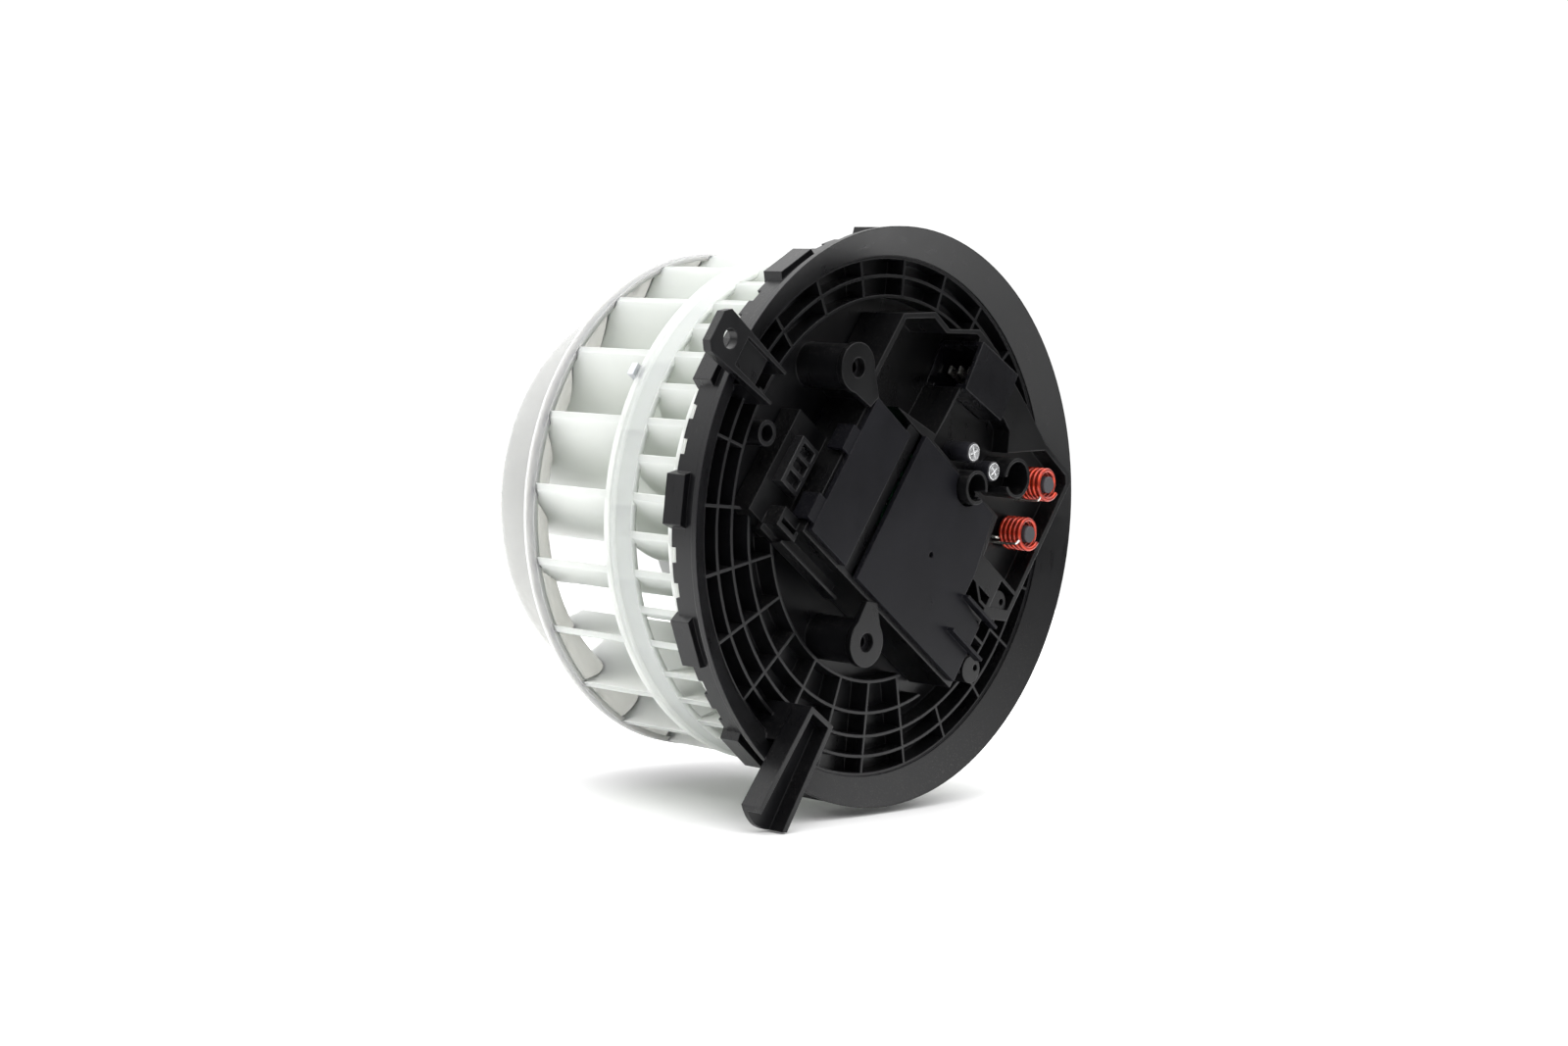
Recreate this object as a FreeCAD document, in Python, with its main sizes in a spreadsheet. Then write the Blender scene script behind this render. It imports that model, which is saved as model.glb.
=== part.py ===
import FreeCAD, Part
import math
import os

import Sketcher

V = FreeCAD.Vector

# Cabin blower unit: a round ribbed mounting flange with the speed regulator on
# its front, a brushed motor behind it and a translucent blower wheel on the
# motor shaft.  The motor axis is Y.  The flange faces -Y, the wheel is on the
# +Y side, +Z is up, and the origin is on the axis in the plane of the lip.

SIZES = {
    # mounting flange
    "lip_radius": 90.0, "lip_width": 9.0, "lip_depth": 5.6, "lip_wall": 2.0,
    "skirt_inset": 2.4, "skirt_wall": 1.8, "skirt_back": 12.0,
    "tab_count": 13, "tab_inset": 0.4, "tab_back": 13.6, "tab_front": 6.4, "tab_width": 17.0,
    "tab_turn": 10.2, "notch_count": 52, "notch_width": 4.6, "notch_depth": 1.6,
    "floor_front": 13.0, "floor_wall": 2.4, "bore_radius": 12.0,
    "rib_top": 6.3, "rib_wall": 1.0, "rib_count": 24, "rib_turn": 12.0, "spoke_wall": 0.9,
    "ring_a_inset": 6.2, "ring_b_inset": 12.5, "ring_c_inset": 19.8, "ring_d_inset": 29.6,
    "ear_angle": 147.5, "ear_reach": 14.0, "ear_length": 32.0, "ear_width": 11.6,
    "ear_tip_width": 14.6, "ear_wall": 2.4, "ear_hole": 5.8, "ear_hole_inset": 6.6,
    "arm_angle": 236.2, "arm_reach": 18.0, "arm_length": 38.0, "arm_root_width": 12.0,
    "arm_tip_width": 15.0, "arm_wall": 1.6, "arm_height": 7.0,
    "boss_x": -57.0, "boss_z": 25.4, "boss_radius": 3.9, "boss_hole": 5.0, "boss_top": 4.6,
    "post_radius": 7.0, "post_hole": 3.4,
    "post_upper_u": -50.5, "post_upper_v": 21.1, "post_lower_u": 5.1, "post_lower_v": -41.5,
    # regulator housing, in axes u and v turned from X and Z about the motor axis
    "housing_turn": 34.5, "housing_wall": 1.8, "housing_back": 12.4, "housing_rim": -4.2,
    "cover_front": -6.0,
    "housing_left": -38.6, "housing_bottom": -30.2, "housing_split": 25.6, "housing_right": 50.6,
    "small_left": -37.4, "small_right": -17.5, "large_left": -11.5, "large_right": 36.4,
    "large_foot": 49.0, "large_step": -8.0, "cover_bottom": -28.6, "small_top": 19.5,
    "large_top": 23.8, "cover_wall": 1.8,
    "pocket_left": -42.0, "pocket_top": 57.4, "bay_right": 62.0, "bay_top": 58.6,
    "bay_floor": 2.4, "lip_gap": 0.5,
    "step_left": -53.6, "step_bottom": -33.0, "step_top": 3.0, "step_front": 5.0,
    "ladder_left": -50.6, "ladder_right": -41.6, "ladder_bottom": -20.6, "ladder_top": -4.4,
    "ladder_front": 1.6, "ladder_slots": 3,
    "flap_wall": 2.2, "flap_radius": 7.6, "flap_hole": 6.0,
    "cup_one_radius": 5.4, "cup_two_radius": 6.4, "cup_wall": 1.0, "cup_front": -9.4, "cup_slot": 3.4,
    "cup_one_u": 16.0, "cup_one_v": 23.4, "cup_two_u": 31.4, "cup_two_v": 37.6,
    # electronics
    "board_wall": 1.6, "board_front": 5.0,
    "capacitor_radius": 3.2, "capacitor_front": -8.0,
    "capacitor_one_u": 9.4, "capacitor_one_v": 32.2, "capacitor_two_u": 21.6, "capacitor_two_v": 33.4,
    "choke_front": -8.4, "choke_length": 10.6, "choke_radius": 5.5, "choke_wire": 0.74,
    "choke_turns": 5, "core_radius": 2.7,
    "choke_one_u": 48.4, "choke_one_v": 46.6, "choke_two_u": 50.2, "choke_two_v": 28.4,
    "connector_turn": 27.5, "connector_left": 0.4, "connector_right": 21.6,
    "connector_bottom": 46.6, "connector_top": 63.4, "connector_wall": 1.5,
    "connector_front": -6.4, "connector_back": 11.6, "terminal_count": 4,
    # motor
    "motor_radius": 30.0, "can_wall": 1.6, "can_near": 20.0, "can_far": 64.8,
    "nose_radius": 10.0, "nose_far": 69.6, "card_near": 15.8,
    "carrier_gap": 0.9, "carrier_wall": 2.0, "carrier_near": 17.6, "carrier_far": 50.0,
    "lug_reach": 7.6, "lug_round": 6.4, "lug_turn": 62.5, "grommet_radius": 3.9,
    "shaft_radius": 4.0, "shaft_near": 16.0, "shaft_far": 85.6, "bearing_radius": 8.0,
    "bearing_length": 5.6, "shaft_clearance": 0.03,
    "core_outer": 20.8, "core_near": 36.0, "core_far": 57.0, "slot_count": 12,
    "commutator_radius": 11.5, "commutator_near": 23.6, "commutator_far": 33.4,
    "magnet_gap": 0.9, "magnet_near": 32.0, "magnet_far": 61.0, "magnet_half_angle": 58.0,
    "brush_width": 5.0, "brush_height": 6.4, "brush_length": 8.0, "brush_seat": 0.3,
    # blower wheel
    "wheel_radius": 80.6, "wheel_near": 18.6, "wheel_wall": 1.8, "band_near": 36.0,
    "bead_near": 42.3, "bead_far": 47.4, "bead_radius": 81.3, "ring_far": 83.0, "ring_near": 78.6,
    "eye_radius": 64.1, "collar_far": 112.9, "collar_wall": 1.8, "collar_curve": 15.9,
    "blade_count": 22, "blade_wall": 2.2, "blade_inner": 50.0,
    "blade_turn": 12.2, "short_blade_inner": 60.0,
    "cone_flare": 21.0, "cone_gap": 9.1, "cone_waist": 66.0, "cone_top_radius": 32.0,
    "cone_top": 78.0, "hub_near": 70.6, "hub_radius": 10.4, "hub_far": 84.0, "insert_radius": 6.6,
    "clip_angle": 149.0, "hook_turn": 4.5,
}

doc = FreeCAD.newDocument("blower_unit")
sheet = doc.addObject("Spreadsheet::Sheet", "Sizes")
for row, (alias, number) in enumerate(SIZES.items(), start=1):
    sheet.set("A%d" % row, alias)
    sheet.set("B%d" % row, str(number))
    sheet.setAlias("B%d" % row, alias)
doc.recompute()


class Size:
    """A number with the sheet expression that gives it, so that both stay together."""

    def __init__(self, value, text):
        self.value = value
        self.text = text

    def __add__(self, other):
        other = as_size(other)
        return Size(self.value + other.value, "(%s + %s)" % (self.text, other.text))

    def __sub__(self, other):
        other = as_size(other)
        return Size(self.value - other.value, "(%s - %s)" % (self.text, other.text))

    def __mul__(self, other):
        other = as_size(other)
        return Size(self.value * other.value, "(%s * %s)" % (self.text, other.text))

    def __truediv__(self, other):
        other = as_size(other)
        return Size(self.value / other.value, "(%s / %s)" % (self.text, other.text))

    def __neg__(self):
        return Size(-self.value, "(0 - %s)" % self.text)

    def __radd__(self, other):
        return as_size(other) + self

    def __rsub__(self, other):
        return as_size(other) - self

    def __rmul__(self, other):
        return as_size(other) * self


def as_size(number):
    return number if isinstance(number, Size) else Size(float(number), repr(float(number)))


def size(alias):
    return Size(float(SIZES[alias]), "Sizes." + alias)


def cosine(angle):
    angle = as_size(angle)
    return Size(math.cos(math.radians(angle.value)), "cos(%s)" % angle.text)


def sine(angle):
    angle = as_size(angle)
    return Size(math.sin(math.radians(angle.value)), "sin(%s)" % angle.text)


def root(number):
    return Size(math.sqrt(number.value), "sqrt(%s)" % number.text)


def rounded(number):
    return int(round(number.value))


def new_body(name):
    body = doc.addObject("PartDesign::Body", name)
    body.Label = name
    return body


def new_sketch(body, plane, height=0.0):
    """A sketch on one of the body's own planes, raised along the plane's normal."""
    sketch = body.newObject("Sketcher::SketchObject", body.Name + "_sketch")
    support = next(f for f in body.Origin.OriginFeatures if f.Role == plane)
    sketch.AttachmentSupport = [(support, "")]
    sketch.MapMode = "FlatFace"
    height = as_size(height)
    sketch.AttachmentOffset = FreeCAD.Placement(V(0, 0, height.value), FreeCAD.Rotation())
    sketch.setExpression("AttachmentOffset.Base.z", height.text)
    return sketch


def pin_point(sketch, curve, end, x, y):
    """Tie one end of a sketch curve to sheet expressions along both sketch axes."""
    for kind, number, axis in (("DistanceX", x, -2), ("DistanceY", y, -1)):
        number = as_size(number)
        if number.value == 0.0:
            sketch.addConstraint(Sketcher.Constraint("PointOnObject", curve, end, axis))
        else:
            index = sketch.addConstraint(Sketcher.Constraint(kind, -1, 1, curve, end, number.value))
            sketch.setExpression("Constraints[%d]" % index, number.text)


def arc_between(start, end, radius):
    """The short arc from start to end, turning left for a positive radius."""
    chord = end - start
    middle = (start + end) * 0.5
    reach = math.sqrt(max(radius * radius - chord.Length ** 2 / 4.0, 0.0))
    left = V(-chord.y, chord.x, 0).normalize()
    centre = middle + left * (reach if radius > 0 else -reach)
    first, last = (start, end) if radius > 0 else (end, start)
    circle = Part.Circle(centre, V(0, 0, 1), abs(radius))
    angles = [math.atan2(p.y - centre.y, p.x - centre.x) for p in (first, last)]
    if angles[1] < angles[0]:
        angles[1] += 2.0 * math.pi
    return Part.ArcOfCircle(circle, angles[0], angles[1])


def draw_outline(sketch, points):
    """Closed outline.  A point is (x, y), or (x, y, radius) after an arc to it."""
    flat = [V(as_size(p[0]).value, as_size(p[1]).value, 0) for p in points]
    tails = []
    for index, point in enumerate(points):
        start, end = flat[index - 1], flat[index]
        if len(point) == 3:
            bend = as_size(point[2])
            curve = sketch.addGeometry(arc_between(start, end, bend.value), False)
            length = bend if bend.value > 0 else -bend
            tag = sketch.addConstraint(Sketcher.Constraint("Radius", curve, length.value))
            sketch.setExpression("Constraints[%d]" % tag, length.text)
            tails.append((curve, 1, 2) if bend.value > 0 else (curve, 2, 1))
        else:
            tails.append((sketch.addGeometry(Part.LineSegment(start, end), False), 1, 2))
    for index, point in enumerate(points):
        curve, tail, head = tails[index]
        following, next_tail, next_head = tails[(index + 1) % len(points)]
        sketch.addConstraint(Sketcher.Constraint("Coincident", curve, head, following, next_tail))
        pin_point(sketch, curve, head, point[0], point[1])


def draw_circle(sketch, x, y, radius):
    x, y, radius = as_size(x), as_size(y), as_size(radius)
    curve = sketch.addGeometry(Part.Circle(V(x.value, y.value, 0), V(0, 0, 1), radius.value), False)
    tag = sketch.addConstraint(Sketcher.Constraint("Radius", curve, radius.value))
    sketch.setExpression("Constraints[%d]" % tag, radius.text)
    pin_point(sketch, curve, 3, x, y)


def add_feature(body, kind, sketch):
    feature = body.newObject("PartDesign::" + kind, body.Name + "_" + kind.lower())
    feature.Profile = sketch
    feature.Refine = False
    sketch.Visibility = False
    return feature


def revolve(body, points, cut=False):
    """Turn an outline of (radius, height along Y) about the body's Y axis."""
    sketch = new_sketch(body, "XY_Plane")
    draw_outline(sketch, points)
    feature = add_feature(body, "Groove" if cut else "Revolution", sketch)
    feature.ReferenceAxis = (sketch, ["V_Axis"])
    feature.Angle = 360.0
    return feature


def prism(body, draw, near, far, cut=False):
    """Sweep a front-view drawing in X and Z from y = near to y = far."""
    near, far = as_size(near), as_size(far)
    sketch = new_sketch(body, "XZ_Plane", -near)
    draw(sketch)
    feature = add_feature(body, "Pocket" if cut else "Pad", sketch)
    span = far - near
    feature.Length = span.value
    feature.setExpression("Length", span.text)
    feature.Reversed = not cut
    return feature


def outline(*points):
    return lambda sketch: draw_outline(sketch, points)


def circle(x, y, radius):
    return lambda sketch: draw_circle(sketch, x, y, radius)


def rectangle(left, right, bottom, top):
    return outline((left, bottom), (right, bottom), (right, top), (left, top))


def around_axis(body, features, count):
    """Repeat features evenly about the body's Y axis."""
    pattern = body.newObject("PartDesign::PolarPattern", body.Name + "_pattern")
    pattern.Originals = features
    pattern.Refine = False
    axis = next(f for f in body.Origin.OriginFeatures if f.Role == "Y_Axis")
    pattern.Axis = (axis, [""])
    pattern.Angle = 360.0
    pattern.Occurrences = rounded(count)
    pattern.setExpression("Occurrences", count.text)
    body.Tip = pattern
    return pattern


def polar_point(radius, angle, offset=0.0):
    """Point at a radius and angle in X and Z, moved sideways by offset."""
    radius, offset = as_size(radius), as_size(offset)
    return (radius * cosine(angle) - offset * sine(angle),
            radius * sine(angle) + offset * cosine(angle))


def radial_strip(angle, inner, outer, inner_width, outer_width):
    """A strip along a radius, with its own width at each end."""
    inner_half, outer_half = as_size(inner_width) * 0.5, as_size(outer_width) * 0.5
    return outline(polar_point(inner, angle, -inner_half), polar_point(outer, angle, -outer_half),
                   polar_point(outer, angle, outer_half), polar_point(inner, angle, inner_half))


def place(piece, turn, u=0.0, v=0.0, y=0.0):
    """Put a piece at u, v in axes turned about the motor axis, tied to the sheet."""
    turn, u, v, y = as_size(turn), as_size(u), as_size(v), as_size(y)
    x = u * cosine(turn) + v * sine(turn)
    z = v * cosine(turn) - u * sine(turn)
    piece.Placement = FreeCAD.Placement(V(x.value, y.value, z.value),
                                        FreeCAD.Rotation(V(0, 1, 0), turn.value))
    piece.setExpression("Placement.Base.x", x.text)
    piece.setExpression("Placement.Base.y", y.text)
    piece.setExpression("Placement.Base.z", z.text)
    piece.setExpression("Placement.Rotation.Angle", turn.text)
    return piece


turn = size("housing_turn")

# radii that follow the flange's rim and the motor's can
lip_inner = size("lip_radius") - size("lip_width")
skirt_radius = size("lip_radius") - size("skirt_inset")
ring_b = lip_inner - size("ring_b_inset")
ring_d = lip_inner - size("ring_d_inset")
carrier_inner = size("motor_radius") + size("carrier_gap")
carrier_outer = carrier_inner + size("carrier_wall")
lug_radius = carrier_outer + size("lug_reach")
cone_waist_radius = carrier_outer + size("cone_gap")


def to_world(u, v):
    """Front-view X and Z of a point given in the housing's u and v."""
    u, v = as_size(u), as_size(v)
    return u * cosine(turn) + v * sine(turn), v * cosine(turn) - u * sine(turn)


# ---------------------------------------------------------------- mounting flange

def build_flange():
    body = new_body("mounting_flange")
    lip, inner, depth, wall = (size("lip_radius"), lip_inner, size("lip_depth"),
                               size("lip_wall"))
    skirt, skirt_in = skirt_radius, skirt_radius - size("skirt_wall")
    front, back = size("floor_front"), size("floor_front") + size("floor_wall")
    top, rib = size("rib_top"), size("rib_wall")
    comb = []
    for ring in (inner - size("ring_a_inset"), ring_b, inner - size("ring_c_inset"), ring_d):
        comb += [(ring + rib * 0.5, front), (ring + rib * 0.5, top),
                 (ring - rib * 0.5, top), (ring - rib * 0.5, front)]
    revolve(body, [(lip, 0.0), (inner, depth), (inner, top), (inner - rib, top),
                   (inner - rib, front)] + comb
            + [(size("bore_radius"), front), (size("bore_radius"), back), (inner, back),
               (inner, depth + wall), (skirt_in, wall * 1.6), (skirt_in, size("skirt_back")),
               (skirt, size("skirt_back")), (skirt, wall * 1.3), (lip, wall)])
    spoke = prism(body, radial_strip(size("rib_turn"), ring_d, inner - rib * 0.5,
                                     size("spoke_wall"), size("spoke_wall")), top, front)
    around_axis(body, [spoke], size("rib_count"))
    build_tabs(body, top)
    build_ear(body)
    build_arm(body)
    # the regulator sits in a smooth recess above its lower wall
    clear = ring_b - rib * 0.5
    chord = size("step_bottom") - 1.0
    reach = root(clear * clear - chord * chord)
    prism(body, outline(to_world(reach, chord), to_world(0.0, clear) + (clear,),
                        to_world(-reach, chord) + (clear,)), top - 1.0, front, cut=True)
    build_posts(body, front)
    return body


def build_tabs(body, top):
    """Bayonet tabs and the shallow scallops along the back edge of the skirt."""
    skirt, inner = skirt_radius, skirt_radius - size("skirt_wall")
    notch = prism(body, radial_strip(0.0, inner - 2.0, skirt + 3.0, size("notch_width"),
                                     size("notch_width")),
                  size("skirt_back") - size("notch_depth"), size("skirt_back"), cut=True)
    around_axis(body, [notch], size("notch_count"))
    tab_radius = size("lip_radius") - size("tab_inset")
    tab = prism(body, radial_strip(size("tab_turn"), inner + 0.2, tab_radius,
                                   size("tab_width"), size("tab_width") * 0.86),
                size("tab_front"), size("tab_back"))
    around_axis(body, [tab], size("tab_count"))


def build_ear(body):
    """Screw ear that reaches out over the lip, with a rib along each edge."""
    angle, width, wall = size("ear_angle"), size("ear_width"), size("ear_wall")
    tip = size("lip_radius") + size("ear_reach")
    root_radius = tip - size("ear_length")
    half, rail, hole_radius = width * 0.5, size("rib_wall"), tip - size("ear_hole_inset")
    tip_half, corner = size("ear_tip_width") * 0.5, 2.2
    prism(body, outline(polar_point(root_radius, angle, -half),
                        polar_point(tip - corner, angle, -tip_half),
                        polar_point(tip, angle, corner - tip_half),
                        polar_point(tip, angle, tip_half - corner),
                        polar_point(tip - corner, angle, tip_half),
                        polar_point(root_radius, angle, half)), -wall, 0.6)
    prism(body, radial_strip(angle, root_radius, lip_inner + 1.6, width, width),
          -wall, size("floor_front"))
    # two rails are left on the strap where it is hollowed out
    hollow = width - rail * 2.0
    prism(body, radial_strip(angle, root_radius - 1.0, hole_radius - 6.0, hollow, hollow),
          -wall - 1.0, -wall * 0.4, cut=True)
    prism(body, radial_strip(angle, root_radius - 1.0, lip_inner - 1.4, hollow, hollow),
          -wall - 1.0, size("floor_front") - 1.6, cut=True)
    hole_x, hole_z = polar_point(hole_radius, angle)
    prism(body, circle(hole_x, hole_z, size("ear_hole") * 0.5), -wall - 1.0, 2.0, cut=True)


def build_arm(body):
    """Trough-shaped arm that reaches out over the lip to a rounded tip."""
    angle, wall, height = size("arm_angle"), size("arm_wall"), size("arm_height")
    tip = size("lip_radius") + size("arm_reach")
    inner = tip - size("arm_length")
    inner_half, tip_half = size("arm_root_width") * 0.5, size("arm_tip_width") * 0.5
    edge = tip - 2.6
    prism(body, outline(polar_point(inner, angle, -inner_half), polar_point(edge, angle, -tip_half),
                        polar_point(tip, angle) + (tip_half * 1.9,),
                        polar_point(edge, angle, tip_half) + (tip_half * 1.9,),
                        polar_point(inner, angle, inner_half)), -height, 0.4)
    prism(body, outline(polar_point(inner + wall, angle, wall - inner_half),
                        polar_point(edge + 4.0, angle, wall - tip_half),
                        polar_point(edge + 4.0, angle, tip_half - wall),
                        polar_point(inner + wall, angle, inner_half - wall)),
          -height - 1.0, -wall, cut=True)
    prism(body, radial_strip(angle, inner, lip_inner + 1.6,
                             size("arm_root_width"), size("arm_root_width")),
          0.0, size("floor_front"))


def build_posts(body, front):
    """Posts under the housing's two screw ears, and a small drilled boss."""
    for name in ("upper", "lower"):
        x, z = to_world(size("post_%s_u" % name), size("post_%s_v" % name))
        post_top = size("housing_rim") + 0.4
        prism(body, circle(x, z, size("post_radius")), post_top, front)
        prism(body, circle(x, z, size("post_hole") * 0.5), post_top - 1.0, front - 3.0, cut=True)
    x, z = size("boss_x"), size("boss_z")
    prism(body, circle(x, z, size("boss_radius")), size("boss_top"), front)
    prism(body, circle(x, z, size("boss_hole") * 0.5), size("boss_top") - 1.0, front - 3.0, cut=True)


# ------------------------------------------------------------- regulator housing

def build_housing():
    """Open-fronted box that carries the circuit board, the chokes and the capacitors."""
    body = new_body("regulator_housing")
    wall, rim, back = size("housing_wall"), size("housing_rim"), size("housing_back")
    left, right = size("housing_left"), size("housing_right")
    bottom, split = size("housing_bottom"), size("housing_split")
    pocket, top = size("pocket_left"), size("pocket_top")
    bay_right, bay_top = size("bay_right"), size("bay_top")
    crown, mouth = top + 9.0, size("connector_left") - 7.6
    prism(body, outline((left, bottom), (right, bottom), (right, -4.0), (bay_right, 2.0),
                        (bay_right, bay_top - 3.0), (bay_right - 3.0, bay_top),
                        (right - 8.6, bay_top), (24.5, crown - 3.9), (2.0, crown + 0.2),
                        (-9.0, crown), (-21.0, top), (pocket + 12.0, top),
                        (pocket, top - 9.6), (pocket, 17.6), (left, 17.6)), rim, back)
    # low step on the left that carries the terminal block
    prism(body, rectangle(size("step_left"), left + 1.0, size("step_bottom"), size("step_top")),
          size("step_front"), back)
    # the back is stepped clear of the flange's lip
    recess, inner = ring_b - size("rib_wall") * 0.5 - 0.5, lip_inner
    lip, gap = size("lip_radius"), size("lip_gap")
    slope = size("lip_depth") / (lip - inner)
    revolve(body, [(recess, back + 1.0), (recess, size("rib_top") - gap),
                   (inner - 1.0, size("rib_top") - gap), (inner, size("lip_depth") - gap),
                   (lip + 10.0, -gap - slope * 10.0), (lip + 10.0, back + 1.0)], cut=True)
    # board well, plug pocket and component bay
    floor = back - wall
    prism(body, rectangle(left + wall, size("large_right") - wall, bottom + wall, split - wall),
          rim - 1.0, floor, cut=True)
    prism(body, outline((pocket + wall, 21.0), (-6.0, 28.0), (mouth + 1.8, 47.6),
                        (mouth, crown - wall), (-9.4, crown - wall - 0.2), (-21.6, top - wall),
                        (pocket + 12.6, top - wall), (pocket + wall, top - 10.2)),
          rim - 1.0, floor, cut=True)
    prism(body, outline((-5.8, split + 0.2), (28.0, split + 0.2), (28.0, 44.0), (24.0, 50.6),
                        (19.0, 51.9), (-4.4, 49.0)), rim - 1.0, size("bay_floor"), cut=True)
    prism(body, outline((26.0, split + 0.2), (size("large_right"), split + 0.2),
                        (size("large_right") + 2.0, 12.0), (bay_right - wall, 12.0),
                        (bay_right - wall, bay_top - 4.0), (bay_right - 4.0, bay_top - wall),
                        (right - 7.0, bay_top - wall), (27.0, 44.0)),
          rim - 1.0, size("bay_floor"), cut=True)
    well = rim + 7.0
    for low, high, near_side in ((-4.2, 3.2, size("large_right") + 1.6),
                                 (-14.4, -6.0, size("large_foot") - 5.6),
                                 (-25.8, -18.0, size("large_foot") - 4.0)):
        prism(body, rectangle(near_side, size("housing_right") - 1.0, low, high),
              rim - 1.0, well, cut=True)
    prism(body, outline((40.0, 3.6), (45.8, -0.8), (50.2, -0.8), (50.2, 0.2), (46.2, 0.2),
                        (41.6, 3.6)), rim, well + 0.5)
    prism(body, outline((right + 0.8, 0.6), (bay_right - wall, 5.0), (bay_right - wall, 10.8),
                        (right + 0.8, 10.8)), rim - 1.0, well, cut=True)
    prism(body, connector_recess(), rim - 4.0, size("connector_back") + gap * 0.2, cut=True)
    build_screw_flaps(body)
    build_cups(body)
    # sunk bar between the two covers
    prism(body, rectangle(size("small_right"), size("large_left"), bottom + 0.6, split - 0.8),
          rim + 0.8, rim + 0.8 + wall)
    # two rounded clip towers on the right, each on its own web
    for centre_u, centre_v in ((55.4, 4.4), (57.4, -19.4)):
        prism(body, rectangle(right - 1.0, centre_u, centre_v - 3.4, centre_v + 3.4),
              rim + 2.2, back - 2.0)
        prism(body, circle(centre_u, centre_v, 4.4), rim + 1.0, back - 2.0)
        prism(body, circle(centre_u + 1.4, centre_v + 1.6, 1.1), rim, rim + 5.0, cut=True)
    prism(body, outline((right - 1.0, -9.6), (right + 6.4, -9.6), (right + 6.4, -10.6),
                        (right, -10.6), (right, -16.0), (right - 1.0, -16.0)), rim + 0.6, well)
    # ledge with a raised rail along the lower side, and the clip at its end
    ledge = bottom - 5.0
    prism(body, rectangle(left - 8.0, -8.0, ledge, bottom + 1.0), rim + 8.4, rim + 10.2)
    prism(body, rectangle(left - 1.0, -8.0, ledge, ledge + 1.0), rim + 5.4, rim + 9.0)
    prism(body, rectangle(left - 8.0, left + 1.6, bottom - 3.0, bottom + 3.4), rim + 3.0, rim + 9.0)
    prism(body, rectangle(left - 6.8, left + 0.4, bottom - 1.4, bottom + 0.2), rim + 2.0,
          rim + 6.0, cut=True)
    place(body, turn)
    return body


def connector_recess():
    """Outline of the plug socket's seat, in the housing's u and v."""
    lean, margin = size("connector_turn") - turn, 0.1
    left, right = size("connector_left") - margin, size("connector_right") + margin
    bottom, top = size("connector_bottom") - margin, size("connector_top") + margin
    return outline(*[(p * cosine(lean) + q * sine(lean), q * cosine(lean) - p * sine(lean))
                     for p, q in ((left, bottom), (right, bottom), (right, top), (left, top))])


def build_screw_flaps(body):
    """Teardrop screw ears on the posts of the flange."""
    wall, radius, rim = size("flap_wall"), size("flap_radius"), size("housing_rim")
    for name, reach_u, reach_v in (("upper", 12.6, -3.6), ("lower", -5.6, 11.0)):
        u, v = size("post_%s_u" % name), size("post_%s_v" % name)
        length = math.hypot(reach_u, reach_v)
        across_u, across_v = -reach_v / length, reach_u / length
        prism(body, circle(u, v, radius), rim - wall + 0.4, rim + 0.4)
        prism(body, outline((u + radius * (-across_u), v + radius * (-across_v)),
                            (u + reach_u - across_u * 2.4, v + reach_v - across_v * 2.4),
                            (u + reach_u + across_u * 2.4, v + reach_v + across_v * 2.4),
                            (u + radius * across_u, v + radius * across_v)),
              rim - wall + 0.4, rim + 0.4)
        prism(body, circle(u, v, size("flap_hole") * 0.5), rim - wall - 1.0, rim + 1.0, cut=True)


def build_cups(body):
    """Two slotted cups that stand above the covers beside the capacitors."""
    wall, front = size("cup_wall"), size("cup_front")
    for name, slot_u, slot_v in (("one", 1.0, 0.0), ("two", -0.7, -0.72)):
        u, v = size("cup_%s_u" % name), size("cup_%s_v" % name)
        radius = size("cup_%s_radius" % name)
        prism(body, circle(u, v, radius), front, size("bay_floor") + 1.0)
        prism(body, circle(u, v, radius - wall), front - 1.0, size("bay_floor") - 2.0, cut=True)
        half = size("cup_slot") * 0.5
        prism(body, outline((u - half * slot_v, v + half * slot_u),
                            (u - half * slot_v * -1.0, v - half * slot_u),
                            (u + half * slot_v + (radius + 1.0) * slot_u,
                             v - half * slot_u + (radius + 1.0) * slot_v),
                            (u - half * slot_v + (radius + 1.0) * slot_u,
                             v + half * slot_u + (radius + 1.0) * slot_v)),
              front - 1.0, front + 9.0, cut=True)


def build_covers():
    front = size("cover_front")
    back = front + size("cover_wall")
    bottom = size("cover_bottom")
    small = new_body("cover_small")
    left, right, top = size("small_left"), size("small_right") - 0.3, size("small_top")
    prism(small, rectangle(left, right, bottom, top), front, back)
    for low in (-1.6, -26.4):
        prism(small, rectangle(left - 3.6, left + 1.0, low, low + 8.6), front + 0.3, back)
        prism(small, rectangle(left - 3.6, left - 2.2, low, low + 8.6), front + 0.3, back + 5.0)
    place(small, turn)
    large = new_body("cover_large")
    left, right, foot = size("large_left") + 0.3, size("large_right"), size("large_foot")
    step, top = size("large_step"), size("large_top")
    cup_u, cup_v = size("cup_one_u"), size("cup_one_v")
    prism(large, outline((left, bottom), (foot, bottom), (foot, step), (right, step + 3.0),
                         (right, 4.0), (right - 4.0, top), (left, top)), front, back)
    prism(large, circle(cup_u, cup_v, size("cup_one_radius") + 0.8), front - 1.0, back + 1.0, cut=True)
    prism(large, circle(14.0, -3.6, 1.0), front - 1.0, back + 1.0, cut=True)
    for low in (-5.6, -17.8):
        prism(large, rectangle(right - 1.0, right + 17.6, low, low + 1.1), front - 2.6, front + 0.2)
    place(large, turn)
    return [small, large]


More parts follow.
